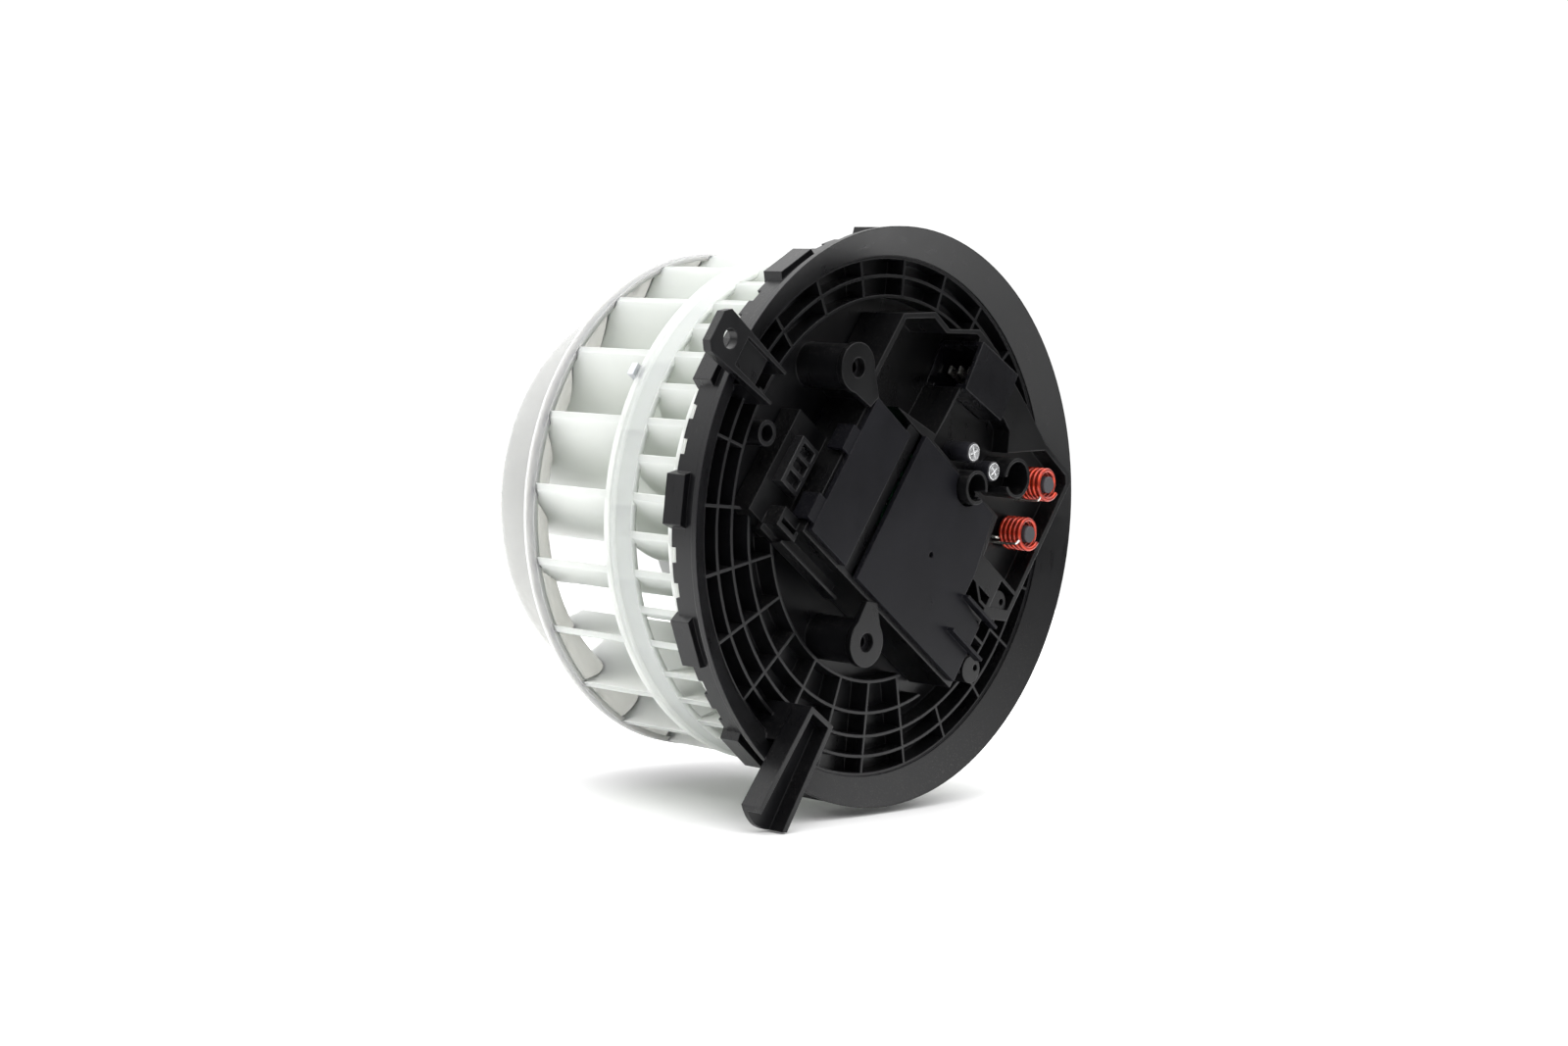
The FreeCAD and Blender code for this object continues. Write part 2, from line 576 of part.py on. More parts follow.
def build_terminal_block():
    """Slotted block on the low step, where the motor's leads are pushed on."""
    body = new_body("terminal_block")
    left, right = size("ladder_left"), size("ladder_right")
    bottom, top = size("ladder_bottom"), size("ladder_top")
    front, count = size("ladder_front"), rounded(size("ladder_slots"))
    prism(body, rectangle(left, right, bottom, top), front, size("step_front"))
    pitch = (top - bottom - 1.4) / float(count)
    for index in range(count):
        low = bottom + 1.4 + pitch * float(index)
        prism(body, rectangle(left + 1.5, right - 1.5, low, low + pitch - 1.4),
              front - 1.0, size("step_front") - 0.8, cut=True)
    place(body, turn)
    return body


# ------------------------------------------------------------------- electronics

def build_connector():
    """Sideways plug socket with blade terminals."""
    wall, own_turn = size("connector_wall"), size("connector_turn")
    left, right = size("connector_left"), size("connector_right")
    bottom, top = size("connector_bottom"), size("connector_top")
    front, back = size("connector_front"), size("connector_back")
    shell = new_body("connector_shell")
    prism(shell, rectangle(left, right, bottom, top), front, back)
    prism(shell, rectangle(left - 1.0, right - 3.0, bottom + wall, top - wall),
          front + wall, back - wall, cut=True)
    prism(shell, rectangle(left - 1.0, left + 3.0, bottom - 1.0, bottom + wall + 1.0),
          front + 4.6, back - 4.6, cut=True)
    place(shell, own_turn)
    pins = new_body("connector_terminals")
    count = rounded(size("terminal_count"))
    pitch = (back - front - wall * 2.0) / float(count)
    for index in range(count):
        height = front + wall + pitch * (index + 0.5)
        prism(pins, rectangle(left + 6.0, right - 3.0, top - 8.6, top - 5.8),
              height - 0.4, height + 0.4)
    place(pins, own_turn)
    return [shell, pins]


def build_board():
    """Circuit board with its switching transistors and heat spreader."""
    front, wall = size("board_front"), size("board_wall")
    left, right = size("housing_left"), size("large_right")
    bottom, top = size("housing_bottom"), size("housing_split")
    margin = size("housing_wall") + 0.6
    board = new_body("circuit_board")
    prism(board, rectangle(left + margin, right - margin, bottom + margin, top - margin),
          front, front + wall)
    place(board, turn)
    spreader = new_body("heat_spreader")
    prism(spreader, rectangle(left + 8.0, right - 10.0, bottom + 6.0, bottom + 24.0),
          front + wall, front + wall + 2.0)
    place(spreader, turn)
    pieces = [board, spreader]
    for index in range(3):
        case = new_body("power_transistor_%d" % (index + 1))
        low = left + 12.0 + 16.0 * index
        prism(case, rectangle(low, low + 10.0, bottom + 8.0, bottom + 23.0), front - 4.4, front)
        place(case, turn)
        pieces.append(case)
    return pieces


def build_capacitor(name, body_name):
    body = new_body(body_name)
    radius, front = size("capacitor_radius"), size("capacitor_front")
    far = size("bay_floor")
    revolve(body, [(0.0, front), (radius - 0.5, front), (radius, front + 0.5),
                   (radius, far - 2.2), (radius - 0.4, far - 1.8), (radius, far - 1.4),
                   (radius, far), (0.0, far)])
    return place(body, turn, size("capacitor_%s_u" % name), size("capacitor_%s_v" % name))


def build_choke(name, number):
    """Rod choke: a ferrite rod inside a few turns of enamelled wire."""
    u, v = size("choke_%s_u" % name), size("choke_%s_v" % name)
    front, radius = size("choke_front"), size("core_radius")
    core = new_body("choke_core_%d" % number)
    revolve(core, [(0.0, front + 0.4), (radius - 0.3, front + 0.4), (radius, front + 0.7),
                   (radius, size("bay_floor")), (0.0, size("bay_floor"))])
    place(core, turn, u, v)
    wire, coil = SIZES["choke_wire"], SIZES["choke_radius"] - SIZES["choke_wire"]
    pitch = (SIZES["choke_length"] - 2.0 * wire) / SIZES["choke_turns"]
    helix = Part.makeHelix(pitch, pitch * SIZES["choke_turns"], coil)
    ring = Part.Wire([Part.makeCircle(wire, V(coil, 0, 0), V(0, 1, 0))])
    winding = doc.addObject("Part::Feature", "choke_winding_%d" % number)
    winding.Label = winding.Name
    solid = Part.Wire(helix.Edges).makePipeShell([ring], True, True)
    stand = FreeCAD.Placement(V(0, SIZES["choke_front"] + wire, 0),
                              FreeCAD.Rotation(V(1, 0, 0), -90))
    winding.Shape = solid.transformGeometry(stand.toMatrix())
    place(winding, turn, u, v)
    return [core, winding]


# ------------------------------------------------------------------------- motor

def tube(name, inner, outer, near, far):
    body = new_body(name)
    revolve(body, [(inner, near), (outer, near), (outer, far), (inner, far)])
    return body


def build_motor_case():
    radius, wall, near, far = (size("motor_radius"), size("can_wall"), size("can_near"),
                               size("can_far"))
    nose, nose_far = size("nose_radius"), size("nose_far")
    can = new_body("motor_can")
    bearing = size("bearing_radius")
    revolve(can, [(radius - wall, near), (radius, near), (radius, far - 3.0),
                  (radius - 3.0, far, 3.0), (nose, far), (nose, nose_far),
                  (size("shaft_radius") + 1.4, nose_far), (size("shaft_radius") + 1.4, nose_far - wall),
                  (bearing, nose_far - wall), (bearing, far - wall), (radius - wall - 1.4, far - wall),
                  (radius - wall, far - wall - 1.4)])
    card = new_body("brush_card")
    card_near = size("card_near")
    revolve(card, [(size("shaft_radius") + 1.4, card_near), (radius, card_near), (radius, near),
                   (radius - wall - 0.2, near), (radius - wall - 0.2, near + 1.6),
                   (bearing + 3.0, near + 1.6), (bearing + 3.0, near + 3.0), (bearing, near + 3.0),
                   (bearing, card_near + 1.6), (size("shaft_radius") + 1.4, card_near + 1.6)])
    carrier = new_body("motor_carrier")
    inside, outside, start = carrier_inner, carrier_outer, size("carrier_near")
    revolve(carrier, [(inside, start), (outside, start), (outside, size("carrier_far")),
                      (inside, size("carrier_far"))])
    lug_x, lug_z = polar_point(lug_radius, size("lug_turn"))
    lug = prism(carrier, circle(lug_x, lug_z, size("lug_round")), start, start + 2.6)
    around_axis(carrier, [lug], as_size(3))
    web = prism(carrier, radial_strip(size("lug_turn"), inside + 0.6, lug_radius, 11.0, 11.0),
                start, start + 2.6)
    around_axis(carrier, [web], as_size(3))
    hole = prism(carrier, circle(lug_x, lug_z, size("grommet_radius")), start - 1.0, start + 3.6,
                 cut=True)
    around_axis(carrier, [hole], as_size(3))
    ribs = prism(carrier, radial_strip(size("lug_turn") + 60.0, radius + 0.05, inside + 0.4, 8.0, 8.0),
                 start + 2.0, size("carrier_far"))
    around_axis(carrier, [ribs], as_size(3))
    return [can, card, carrier]


def build_mounts():
    """Rubber grommets and shouldered screws that hold the motor carrier."""
    back, start = size("floor_front") + size("floor_wall"), size("carrier_near")
    radius, bore = size("grommet_radius"), 2.3
    pieces = []
    for index in range(3):
        angle = size("lug_turn") + 120.0 * index
        x, z = polar_point(lug_radius, angle)
        grommet = new_body("rubber_grommet_%d" % (index + 1))
        revolve(grommet, [(bore, back), (radius + 2.0, back), (radius + 2.0, start), (radius, start),
                          (radius, start + 2.6), (radius + 2.0, start + 2.6),
                          (radius + 2.0, start + 4.6), (bore, start + 4.6)])
        screw = new_body("carrier_screw_%d" % (index + 1))
        revolve(screw, [(0.0, back), (bore, back), (bore, start + 4.6), (4.2, start + 4.6),
                        (4.2, start + 6.2), (3.4, start + 7.0), (0.0, start + 7.0)])
        prism(screw, rectangle(-2.4, 2.4, -0.5, 0.5), start + 6.2, start + 8.0, cut=True)
        for piece in (grommet, screw):
            place(piece, 0.0, x, z)
            pieces.append(piece)
    return pieces


def build_magnets():
    inner = size("core_outer") + size("magnet_gap")
    outer = size("motor_radius") - size("can_wall")
    half = size("magnet_half_angle")
    pieces = []
    for index, middle in enumerate((90.0, 270.0), start=1):
        low, high = middle - half, middle + half
        magnet = new_body("field_magnet_%d" % index)
        prism(magnet, outline(polar_point(outer, low), polar_point(outer, high) + (outer,),
                              polar_point(inner, high), polar_point(inner, low) + (-inner,)),
              size("magnet_near"), size("magnet_far"))
        pieces.append(magnet)
    return pieces


def build_rotor():
    """Shaft, bearings, laminated armature, windings and commutator."""
    shaft_radius, clearance = size("shaft_radius"), size("shaft_clearance")
    near, far = size("shaft_near"), size("shaft_far")
    shaft = new_body("rotor_shaft")
    revolve(shaft, [(0.0, near), (shaft_radius - 0.5, near), (shaft_radius, near + 0.5),
                    (shaft_radius, far - 0.6), (shaft_radius - 0.6, far), (0.0, far)])
    bore, outer, length = shaft_radius + clearance, size("bearing_radius"), size("bearing_length")
    card, nose = size("card_near") + 1.6, size("nose_far") - size("can_wall")
    front = tube("bearing_near", bore, outer, card, card + length)
    back = tube("bearing_far", bore, outer, nose - length, nose)
    core_near, core_far, core_outer = size("core_near"), size("core_far"), size("core_outer")
    core = new_body("armature_core")
    count = size("slot_count")
    revolve(core, [(shaft_radius, core_near), (core_outer, core_near), (core_outer, core_far),
                   (shaft_radius, core_far)])
    pitch = 360.0 / SIZES["slot_count"]
    slot = prism(core, outline(polar_point(9.6, 0.0, -1.0), polar_point(17.6, 0.0, -3.0),
                               polar_point(18.6, 0.0, -0.9), polar_point(core_outer + 1.0, 0.0, -0.9),
                               polar_point(core_outer + 1.0, 0.0, 0.9), polar_point(18.6, 0.0, 0.9),
                               polar_point(17.6, 0.0, 3.0), polar_point(9.6, 0.0, 1.0)),
                 core_near, core_far, cut=True)
    around_axis(core, [slot], count)
    windings = new_body("armature_windings")
    ends = 3.6
    for low, high in ((core_near - ends, core_near), (core_far, core_far + ends)):
        if low.value < core_near.value:
            revolve(windings, [(9.0, low + 1.0), (10.0, low), (17.0, low), (18.4, low + 1.4),
                               (18.4, high), (9.0, high)])
            bar = prism(windings, outline(polar_point(10.2, 0.0, -0.9), polar_point(17.2, 0.0, -2.6),
                                          polar_point(17.2, 0.0, 2.6), polar_point(10.2, 0.0, 0.9)),
                        core_near, core_far)
            around_axis(windings, [bar], count)
        else:
            revolve(windings, [(9.0, low), (18.4, low), (18.4, high - 1.4), (17.0, high),
                               (10.0, high), (9.0, high - 1.0)])
    commutator = new_body("commutator")
    c_radius, c_near, c_far = (size("commutator_radius"), size("commutator_near"),
                               size("commutator_far"))
    revolve(commutator, [(shaft_radius, c_near + 0.6), (c_radius - 1.6, c_near + 0.6),
                         (c_radius - 1.6, c_near), (c_radius, c_near), (c_radius, c_far - 2.2),
                         (c_radius + 1.2, c_far - 2.2), (c_radius + 1.2, c_far - 1.2),
                         (8.6, c_far - 1.2), (shaft_radius, c_far - 1.2)])
    groove = prism(commutator, radial_strip(pitch * 0.5, c_radius - 0.9, c_radius + 2.0, 0.6, 0.6),
                   c_near - 1.0, c_far + 1.0, cut=True)
    around_axis(commutator, [groove], count)
    return [shaft, front, back, core, windings, commutator]


def build_brushes():
    """Two carbon brushes in brass holders with coil springs behind them."""
    width, height = size("brush_width"), size("brush_height")
    length, seat = size("brush_length"), size("brush_seat")
    radius = size("commutator_radius") + seat
    middle = size("commutator_near") + 3.9
    wall, end = 0.8, size("motor_radius") - size("can_wall") - 1.0
    pieces = []
    for index in range(2):
        angle = 180.0 * index
        brush = new_body("carbon_brush_%d" % (index + 1))
        prism(brush, rectangle(radius, radius + length, -width * 0.5, width * 0.5),
              middle - height * 0.5, middle + height * 0.5)
        holder = new_body("brush_holder_%d" % (index + 1))
        start = radius + 2.0
        prism(holder, rectangle(start, end, -width * 0.5 - wall - 0.1, width * 0.5 + wall + 0.1),
              middle - height * 0.5 - 0.1 - wall, middle + height * 0.5 + 0.1 + wall)
        prism(holder, rectangle(start - 1.0, end - wall, -width * 0.5 - 0.1, width * 0.5 + 0.1),
              middle - height * 0.5 - 0.1, middle + height * 0.5 + 0.1, cut=True)
        prism(holder, rectangle(start + 1.0, end - 0.6, -2.4, 2.4), size("can_near") + 1.6,
              middle - height * 0.5 - 0.1 - wall)
        spring = build_spring(index + 1, radius + length, end - wall, middle)
        for piece in (brush, holder, spring):
            place(piece, angle)
            pieces.append(piece)
    return pieces


def build_spring(number, near, far, middle):
    wire, coil = 0.3, 1.8
    turns = 5
    reach = far.value - near.value - 2.0 * wire - 0.06
    helix = Part.makeHelix(reach / turns, reach, coil)
    ring = Part.Wire([Part.makeCircle(wire, V(coil, 0, 0), V(0, 1, 0))])
    spring = doc.addObject("Part::Feature", "brush_spring_%d" % number)
    spring.Label = spring.Name
    solid = Part.Wire(helix.Edges).makePipeShell([ring], True, True)
    stand = FreeCAD.Placement(V(near.value + wire + 0.03, middle.value, 0),
                              FreeCAD.Rotation(V(0, 1, 0), 90))
    spring.Shape = solid.transformGeometry(stand.toMatrix())
    return spring


# ------------------------------------------------------------------ blower wheel

def cone_line(offset):
    """Points of the wheel's back from hub to foot, pushed towards the motor by offset."""
    return [(size("cone_top_radius") - offset * 0.6, size("cone_top") - offset),
            (cone_waist_radius - offset * 0.9, size("cone_waist") - offset * 0.5),
            (cone_waist_radius + size("cone_flare") - offset * 0.4,
             size("wheel_near") + size("wheel_wall") - offset)]


def build_wheel():
    """Back with hub and cone, a row of long blades, short blades between, and a band."""
    body = new_body("blower_wheel")
    radius, near, wall = size("wheel_radius"), size("wheel_near"), size("wheel_wall")
    hub, hub_far, insert = size("hub_radius"), size("hub_far"), size("insert_radius")
    top, hub_near = size("cone_top"), size("hub_near")
    outer, inner = cone_line(0.0), cone_line(wall)
    revolve(body, [(insert, hub_near), (insert, hub_far), (hub, hub_far), (hub, top)]
            + outer + [(radius, near + wall), (radius, near)] + [(inner[2][0], near)]
            + [inner[1], inner[0], (hub, top - wall), (hub, hub_near)])
    long_blade = prism(body, blade_outline(size("blade_inner"), size("blade_turn")),
                       near + wall * 0.5, size("collar_far") - 12.0)
    around_axis(body, [long_blade], size("blade_count"))
    short_blade = prism(body, blade_outline(size("short_blade_inner"),
                                            size("blade_turn") + 180.0 / SIZES["blade_count"]),
                        near + wall * 0.5, size("band_near") + 2.0)
    around_axis(body, [short_blade], size("blade_count"))
    # the blades end on the collar and do not reach under the cone
    throat, rim_inside, rim_foot = collar_inside()
    beyond = size("collar_far") + 4.0
    revolve(body, [(radius + 8.0, size("ring_near")), (radius + 8.0, beyond), (throat[0], beyond),
                   throat, rim_inside, rim_foot], cut=True)
    revolve(body, [(insert + 4.4, near - 1.0), (inner[2][0], near - 1.0), (inner[2][0], near)]
            + [inner[1], inner[0], (insert + 4.4, top - wall)], cut=True)
    bead = size("bead_radius")
    revolve(body, [(radius - 2.2, size("band_near")), (radius, size("band_near")),
                   (radius, size("bead_near")), (bead, size("bead_near") + 0.7),
                   (bead, size("bead_near") + 1.7), (radius + 0.1, size("bead_near") + 2.3),
                   (radius + 0.1, size("bead_far") - 2.3), (bead, size("bead_far") - 1.7),
                   (bead, size("bead_far") - 0.7), (radius, size("bead_far")),
                   (radius - 2.2, size("bead_far"))])
    return body


def blade_outline(inner, angle):
    """Curved blade section between the wheel's rim and an inner radius."""
    outer, wall = size("wheel_radius") - 0.3, size("blade_wall")
    sweep = (outer - inner) * 0.46
    bend = (outer - inner) * 1.7
    return outline(polar_point(outer, angle) + (-bend,), polar_point(outer, angle, wall),
                   polar_point(inner, angle, sweep + wall) + (bend,),
                   polar_point(inner, angle, sweep + wall * 0.4))


def collar_inside():
    """Inner line of the collar: wall above the eye, bell curve, and rim wall."""
    curve, wall = size("collar_curve"), size("collar_wall")
    eye, rim, far = size("eye_radius"), size("wheel_radius"), size("ring_far")
    bend, across = curve + wall, (rim - wall) - (eye + curve)
    rim_height = far + curve - root(bend * bend - across * across)
    return (eye - wall, far + curve), (rim - wall, rim_height, bend), (rim - wall, size("ring_near"))


def build_collar():
    """Bell-mouthed inlet ring, welded on the ends of the blades."""
    body = new_body("inlet_collar")
    rim, eye, far = size("wheel_radius"), size("eye_radius"), size("collar_far")
    curve, wall = size("collar_curve"), size("collar_wall")
    throat, rim_inside, rim_foot = collar_inside()
    revolve(body, [(rim, size("ring_near")), (rim, size("ring_far")), (eye + curve, size("ring_far")),
                   (eye, size("ring_far") + curve, -curve), (eye, far), (eye - wall, far),
                   throat, rim_inside, rim_foot])
    hook = prism(body, radial_strip(size("hook_turn"), rim - 3.4, rim - 2.4, 3.0, 3.0),
                 size("ring_far") - 0.6, size("ring_far") + 1.2)
    around_axis(body, [hook], size("blade_count"))
    return body


def build_hub_pieces():
    """Steel insert moulded in the hub, its retaining clip, and the balance clips."""
    near, far = size("hub_near"), size("hub_far")
    insert = tube("hub_insert", size("shaft_radius"), size("insert_radius"), near, far)
    clip = new_body("shaft_clip")
    shaft, wall = size("shaft_radius"), 0.6
    revolve(clip, [(shaft, far), (shaft + 3.6, far), (shaft + 3.6, far + wall),
                   (shaft + 1.4, far + wall), (shaft + 0.6, far + wall * 2.0),
                   (shaft, far + wall * 2.0)])
    washer = tube("thrust_washer", shaft + 0.1, size("bearing_radius") - 1.0,
                  size("nose_far") + 0.1, near - 0.1)
    pieces = [insert, clip, washer]
    for index, angle in enumerate((size("clip_angle"), size("clip_angle") - 98.0), start=1):
        balance = new_body("balance_clip_%d" % index)
        edge = size("bead_far")
        prism(balance, radial_strip(angle, size("wheel_radius") - 2.6, size("wheel_radius") + 1.6,
                                    4.0, 4.0), edge, edge + 2.4)
        pieces.append(balance)
    return pieces


# ------------------------------------------------------------------ build and write

pieces = [build_flange(), build_housing()]
pieces += build_covers() + [build_terminal_block()] + build_connector() + build_board()
pieces += [build_capacitor("one", "capacitor_1"), build_capacitor("two", "capacitor_2")]
pieces += build_choke("one", 1) + build_choke("two", 2)
pieces += build_motor_case() + build_mounts() + build_magnets() + build_rotor()
pieces += build_brushes() + [build_wheel(), build_collar()] + build_hub_pieces()
doc.recompute()

failed = [o.Name for o in doc.Objects if "Invalid" in o.State or "Error" in o.State]
if failed:
    raise RuntimeError("objects that did not build: " + ", ".join(failed))
for piece in pieces:
    if piece.Shape.isNull() or not piece.Shape.isValid() or not piece.Shape.Solids:
        raise RuntimeError("bad shape: " + piece.Label)

os.makedirs("parts", exist_ok=True)
for piece in pieces:
    piece.Shape.exportStep(os.path.join("parts", piece.Label + ".step"))
    print("%-24s %2d solid(s) %10.1f mm3" % (piece.Label, len(piece.Shape.Solids),
                                             piece.Shape.Volume))
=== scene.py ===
"""Cabin blower unit: finishes, small fitted details, a plain studio and the camera."""

import math

import bpy
from mathutils import Matrix, Vector


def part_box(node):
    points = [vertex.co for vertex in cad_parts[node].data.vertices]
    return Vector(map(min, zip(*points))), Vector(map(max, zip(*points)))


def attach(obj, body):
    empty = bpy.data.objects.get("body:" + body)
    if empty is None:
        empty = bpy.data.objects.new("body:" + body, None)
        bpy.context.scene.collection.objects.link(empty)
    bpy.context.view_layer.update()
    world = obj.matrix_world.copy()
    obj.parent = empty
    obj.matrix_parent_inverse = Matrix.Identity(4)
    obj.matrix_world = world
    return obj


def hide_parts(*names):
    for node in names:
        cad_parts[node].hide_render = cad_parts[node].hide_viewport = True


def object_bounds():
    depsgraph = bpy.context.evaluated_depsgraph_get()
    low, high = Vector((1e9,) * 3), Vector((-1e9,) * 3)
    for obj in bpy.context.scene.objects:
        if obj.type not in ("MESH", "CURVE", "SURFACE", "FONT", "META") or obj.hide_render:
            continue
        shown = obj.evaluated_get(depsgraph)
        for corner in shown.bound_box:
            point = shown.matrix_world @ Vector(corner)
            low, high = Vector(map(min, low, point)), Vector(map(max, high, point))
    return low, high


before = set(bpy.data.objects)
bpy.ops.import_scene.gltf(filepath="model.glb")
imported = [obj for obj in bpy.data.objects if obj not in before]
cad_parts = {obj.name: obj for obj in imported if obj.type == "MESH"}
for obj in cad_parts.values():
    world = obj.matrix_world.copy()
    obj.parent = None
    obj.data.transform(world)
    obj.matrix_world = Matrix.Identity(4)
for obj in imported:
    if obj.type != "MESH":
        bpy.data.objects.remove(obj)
cad_low, cad_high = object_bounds()

MM = 0.001
CAMERA_PLACE = (-0.630577, -0.521419, 0.045767)
CAMERA_FORWARD = (0.74106, 0.66878, -0.05967)
CAMERA_RIGHT = (0.67135, -0.73944, 0.05020)
CAMERA_LENS = 60.75
FLOOR_RADIUS = 0.75
FLOOR_DROP = 0.5 * MM
BACKDROP_WHITE = 1.05


# ---------------------------------------------------------------- node helpers

def add_node(tree, kind, inputs=None, **settings):
    """A node of that kind, with its settings, and its inputs set or linked."""
    made = tree.nodes.new(kind)
    for name, value in settings.items():
        setattr(made, name, value)
    for name, value in (inputs or {}).items():
        socket = made.inputs[name]
        if isinstance(value, bpy.types.NodeSocket):
            tree.links.new(value, socket)
        else:
            socket.default_value = value
    return made


def maths(tree, operation, first, second):
    made = add_node(tree, "ShaderNodeMath", {0: first, 1: second}, operation=operation)
    return made.outputs[0]


def mapped(tree, value, low, high, new_low, new_high):
    made = add_node(tree, "ShaderNodeMapRange", {
        "Value": value, "From Min": low, "From Max": high,
        "To Min": new_low, "To Max": new_high})
    return made.outputs["Result"]


def mixed(tree, factor, first, second):
    made = tree.nodes.new("ShaderNodeMix")
    made.data_type = "RGBA"
    for index, value in ((0, factor), (6, first), (7, second)):
        if isinstance(value, bpy.types.NodeSocket):
            tree.links.new(value, made.inputs[index])
        else:
            made.inputs[index].default_value = value
    return made.outputs[2]


def new_group(name, inputs, outputs):
    """An empty node group with named float inputs and outputs, and its two end nodes."""
    tree = bpy.data.node_groups.new(name, "ShaderNodeTree")
    for label, value in inputs.items():
        socket = tree.interface.new_socket(label, in_out="INPUT", socket_type="NodeSocketFloat")
        socket.default_value = value
    for label, kind in outputs.items():
        tree.interface.new_socket(label, in_out="OUTPUT", socket_type=kind)
    start = tree.nodes.new("NodeGroupInput")
    end = tree.nodes.new("NodeGroupOutput")
    return tree, start.outputs, end


def object_space(tree):
    return tree.nodes.new("ShaderNodeTexCoord").outputs["Object"]


def noise(tree, scale, detail=2.0, rough=0.5, place=None):
    made = add_node(tree, "ShaderNodeTexNoise",
                    {"Vector": place or object_space(tree), "Scale": scale,
                     "Detail": detail, "Roughness": rough})
    return made.outputs["Fac"]


# ---------------------------------------------------------------- shared effects

def make_edge_rounding_and_highlight():
    """Rounds sharp corners a little, and gives a mask of them that drives a painted edge
    highlight.
    """
    tree, given, end = new_group(
        "Rounded edges and painted highlight", {"Radius": 0.0004, "Breakup": 260.0},
        {"Normal": "NodeSocketVector", "Edge": "NodeSocketFloat"})
    rounded = add_node(tree, "ShaderNodeBevel", {"Radius": given["Radius"]}, samples=4)
    flat = tree.nodes.new("ShaderNodeNewGeometry")
    lean = add_node(tree, "ShaderNodeVectorMath",
                    {0: rounded.outputs["Normal"], 1: flat.outputs["Normal"]},
                    operation="DOT_PRODUCT")
    # Edge mask from how far the rounded normal leans from the flat one; used only to paint a
    # highlight along edges
    bare = mapped(tree, lean.outputs["Value"], 0.995, 0.80, 0.0, 1.0)
    broken = mapped(tree, noise(tree, given["Breakup"], 4.0, 0.6), 0.38, 0.62, 0.15, 1.0)
    tree.links.new(rounded.outputs["Normal"], end.inputs["Normal"])
    # Edge output: mask for the painted edge highlight, not real wear
    tree.links.new(maths(tree, "MULTIPLY", bare, broken), end.inputs["Edge"])
    return tree


def make_moulded_grain():
    """Fine spark-eroded grain over slow mould flow, and a rub mask where gloss has changed."""
    tree, given, end = new_group(
        "Moulded grain", {"Grain scale": 2600.0, "Flow scale": 38.0, "Flow weight": 0.35},
        {"Height": "NodeSocketFloat", "Mottle": "NodeSocketFloat", "Rub": "NodeSocketFloat"})
    fine = noise(tree, given["Grain scale"], 3.0, 0.62)
    slow = noise(tree, given["Flow scale"], 3.0, 0.5)
    heavy = maths(tree, "MULTIPLY", slow, given["Flow weight"])
    tree.links.new(maths(tree, "ADD", fine, heavy), end.inputs["Height"])
    tree.links.new(mapped(tree, slow, 0.32, 0.68, 0.0, 1.0), end.inputs["Mottle"])
    stretch = add_node(tree, "ShaderNodeMapping",
                       {"Vector": object_space(tree), "Scale": (180.0, 900.0, 60.0),
                        "Rotation": (0.3, 0.8, 0.2)})
    rub = noise(tree, 1.0, 4.0, 0.65, stretch.outputs["Vector"])
    tree.links.new(mapped(tree, rub, 0.56, 0.72, 0.0, 1.0), end.inputs["Rub"])
    return tree


def make_dust():
    """Pale specks that settle on faces that look upward."""
    tree, given, end = new_group("Settled dust", {"Amount": 0.3, "Speck scale": 1500.0},
                                 {"Dust": "NodeSocketFloat"})
    facing = tree.nodes.new("ShaderNodeNewGeometry").outputs["Normal"]
    up = add_node(tree, "ShaderNodeSeparateXYZ", {"Vector": facing}).outputs["Z"]
    shelf = mapped(tree, up, 0.2, 1.0, 0.0, 1.0)
    specks = mapped(tree, noise(tree, given["Speck scale"], 2.0, 0.7), 0.55, 0.75, 0.0, 1.0)
    drift = mapped(tree, noise(tree, 45.0, 3.0, 0.6), 0.4, 0.65, 0.2, 1.0)
    laid = maths(tree, "MULTIPLY", maths(tree, "MULTIPLY", shelf, specks), drift)
    tree.links.new(maths(tree, "MULTIPLY", laid, given["Amount"]), end.inputs["Dust"])
    return tree


def make_brushing():
    """Fine lines drawn along one axis of the object, for rolled, turned and drawn metal."""
    tree, given, end = new_group(
        "Drawn lines", {"Across": 4200.0, "Along": 60.0},
        {"Height": "NodeSocketFloat", "Streak": "NodeSocketFloat"})
    scale = add_node(tree, "ShaderNodeCombineXYZ",
                     {"X": given["Across"], "Y": given["Along"], "Z": given["Across"]})
    lay = add_node(tree, "ShaderNodeVectorMath",
                   {0: object_space(tree), 1: scale.outputs["Vector"]}, operation="MULTIPLY")
    lines = noise(tree, 1.0, 3.0, 0.6, lay.outputs["Vector"])
    tree.links.new(lines, end.inputs["Height"])
    tree.links.new(mapped(tree, lines, 0.35, 0.65, 0.0, 1.0), end.inputs["Streak"])
    return tree


edge_rounding_and_highlight = make_edge_rounding_and_highlight()
moulded_grain = make_moulded_grain()
settled_dust = make_dust()
drawn_lines = make_brushing()


def use_group(tree, group, **values):
    made = tree.nodes.new("ShaderNodeGroup")
    made.node_tree = group
    for name, value in values.items():
        made.inputs[name.replace("_", " ").capitalize()].default_value = value
    return made.outputs


def new_material(name, **sockets):
    """A material with a Principled shader whose constant sockets are set here."""
    material = bpy.data.materials.new(name)
    material.use_nodes = True
    tree = material.node_tree
    shader = tree.nodes["Principled BSDF"]
    for label, value in sockets.items():
        shader.inputs[label.replace("_", " ")].default_value = value
    return material, tree, shader


def set_bump(tree, shader, height, base_normal, strength, depth):
    bump = add_node(tree, "ShaderNodeBump", {
        "Height": height, "Normal": base_normal, "Strength": strength, "Distance": depth})
    tree.links.new(bump.outputs["Normal"], shader.inputs["Normal"])


# ---------------------------------------------------------------- finishes

